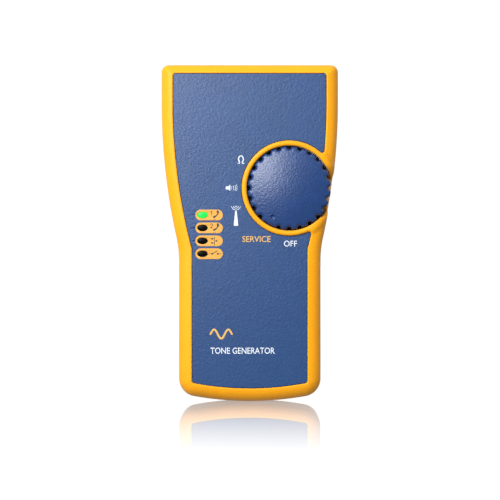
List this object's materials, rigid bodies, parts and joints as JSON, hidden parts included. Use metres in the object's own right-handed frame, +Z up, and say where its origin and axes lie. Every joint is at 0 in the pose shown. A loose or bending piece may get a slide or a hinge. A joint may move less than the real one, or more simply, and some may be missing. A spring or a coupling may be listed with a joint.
{
  "type": "tone generator",
  "caption": "Hand-held cable tone generator: waisted flat case with soft bumpers, selector dial in a side scoop, indicator lenses, end jacks and a hinged battery door.",
  "frame": {"origin": "under the middle of the case, on the surface that it stands on", "axes": "+Z up along the case towards the jacks, the front with the dial faces -Y, +X to the right seen from the front"},
  "size_m": [0.0746, 0.033, 0.142],
  "materials": {
    "case_blue": "fine grained moulding",
    "bumper_yellow": "satin overmoulded elastomer",
    "dial_blue": "leather-grained moulding",
    "black_plastic": "satin",
    "white_plastic": "satin",
    "lens_green": "clear lens over a lit lamp",
    "lens_dark": "smoked lens",
    "board_laminate": "solder resist",
    "zinc_steel": "bright zinc",
    "nickel_brass": "nickel-plated",
    "gold_contact": "gold-plated spring metal",
    "wrap_black": "printed sleeve",
    "red_insulation": "satin",
    "black_insulation": "satin",
    "grey_foam": "open-cell foam",
    "transformer_core": "ferrite"
  },
  "bodies": {
    "case": {"battery": "wrap_black", "battery_snap": "black_plastic", "battery_terminal_negative": "zinc_steel", "battery_terminal_positive": "zinc_steel", "board_screw_1": "zinc_steel", "board_screw_2": "zinc_steel", "board_screw_3": "zinc_steel", "capacitor_1": "wrap_black", "capacitor_2": "wrap_black", "case_screw_1": "zinc_steel", "case_screw_2": "zinc_steel", "case_screw_3": "zinc_steel", "case_screw_4": "zinc_steel", "coax_insulator": "white_plastic", "coax_jack": "nickel_brass", "coax_nut": "nickel_brass", "crystal": "zinc_steel", "detent_spring": "gold_contact", "front_bumper": "bumper_yellow", "front_shell": "case_blue", "led_1": "white_plastic", "led_2": "white_plastic", "led_3": "white_plastic", "led_4": "white_plastic", "led_lens_1": "lens_green", "led_lens_2": "lens_dark", "led_lens_3": "lens_dark", "led_lens_4": "lens_dark", "main_board": "board_laminate", "microcontroller": "black_plastic", "port_panel": "black_plastic", "rear_bumper": "bumper_yellow", "rear_shell": "case_blue", "relay": "black_plastic", "rj11_contacts": "gold_contact", "rj11_jack": "black_plastic", "rj45_contacts": "gold_contact", "rj45_jack": "black_plastic", "transformer": "transformer_core", "wire_black": "black_insulation", "wire_red": "red_insulation"},
    "selector": {"dial": "dial_blue", "switch_rotor": "white_plastic", "switch_wiper": "gold_contact", "dial_screw": "zinc_steel"},
    "door": {"battery_door": "case_blue", "door_foam_pad": "grey_foam"}
  },
  "joints": [
    {"name": "dial_turn", "type": "hinge", "parent": "case", "child": "selector", "pos_m": [0.0166, -0.0066, 0.0899], "axis": [0, 1, 0], "range_deg": [-30, 90], "deforming": ["detent_spring"]},
    {"name": "battery_door_swing", "type": "hinge", "parent": "case", "child": "door", "pos_m": [0, 0.0144, 0.011], "axis": [-1, 0, 0], "range_deg": [0, 90]}
  ]
}
